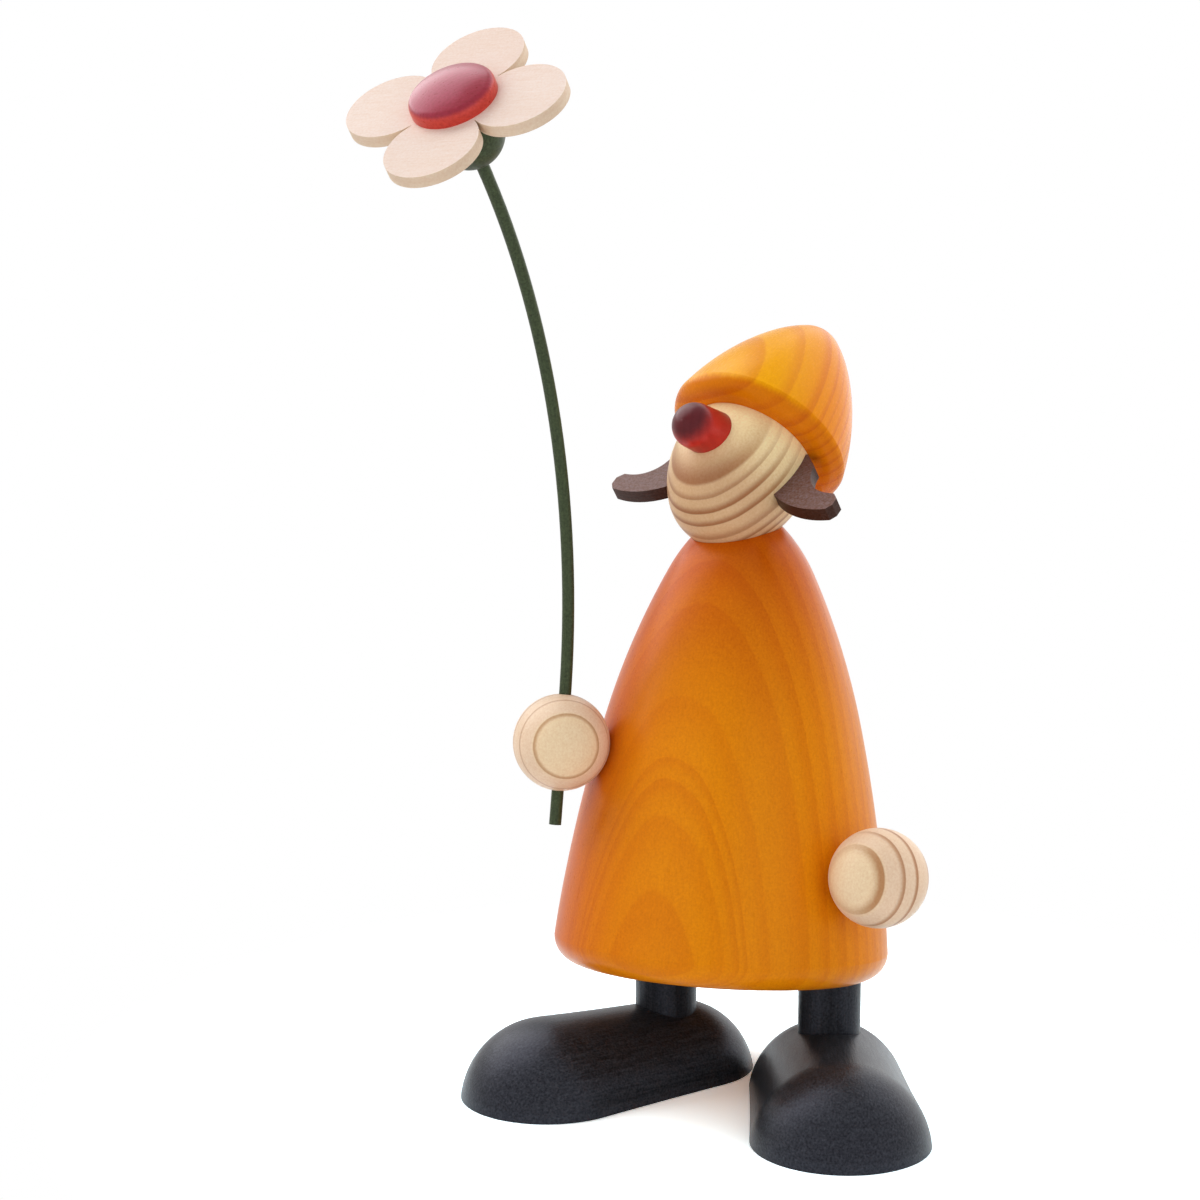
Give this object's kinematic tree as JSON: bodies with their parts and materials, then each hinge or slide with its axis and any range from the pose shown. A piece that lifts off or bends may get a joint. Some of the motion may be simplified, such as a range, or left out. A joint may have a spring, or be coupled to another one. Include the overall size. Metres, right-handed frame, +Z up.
{
  "type": "wooden figurine",
  "caption": "Turned wooden figure in a bell-shaped coat and pointed hat that leans back, looks up and holds out a long-stemmed flower; the flower lifts out of its hand.",
  "frame": {"origin": "on the floor, at the middle of the whole part's footprint, flower included", "axes": "+Z up; the figure faces -Y, so its left hand is on +X and the flower hand on -X"},
  "size_m": [0.1154, 0.1272, 0.2339],
  "materials": {
    "orange_stain": "satin",
    "pale_wood": "satin",
    "petal_wood": "matte",
    "red_stain": "satin",
    "brown_stain": "matte",
    "black_stain": "satin",
    "green_stain": "satin"
  },
  "bodies": {
    "figure": {"coat": "orange_stain", "neck_peg": "pale_wood", "head": "pale_wood", "nose": "red_stain", "hat": "orange_stain", "pigtail_left": "brown_stain", "pigtail_right": "brown_stain", "hand_left": "pale_wood", "hand_right": "pale_wood", "hand_peg_left": "pale_wood", "hand_peg_right": "pale_wood", "leg_left": "black_stain", "leg_right": "black_stain", "shoe_left": "black_stain", "shoe_right": "black_stain"},
    "flower": {"flower_stem": "green_stain", "flower_calyx": "green_stain", "blossom": "petal_wood", "flower_centre": "red_stain"}
  },
  "joints": [
    {"name": "flower_lift", "type": "slide", "parent": "figure", "child": "flower", "axis": [0.0152, 0.1522, 0.9882], "range_m": [0, 0.026]}
  ]
}
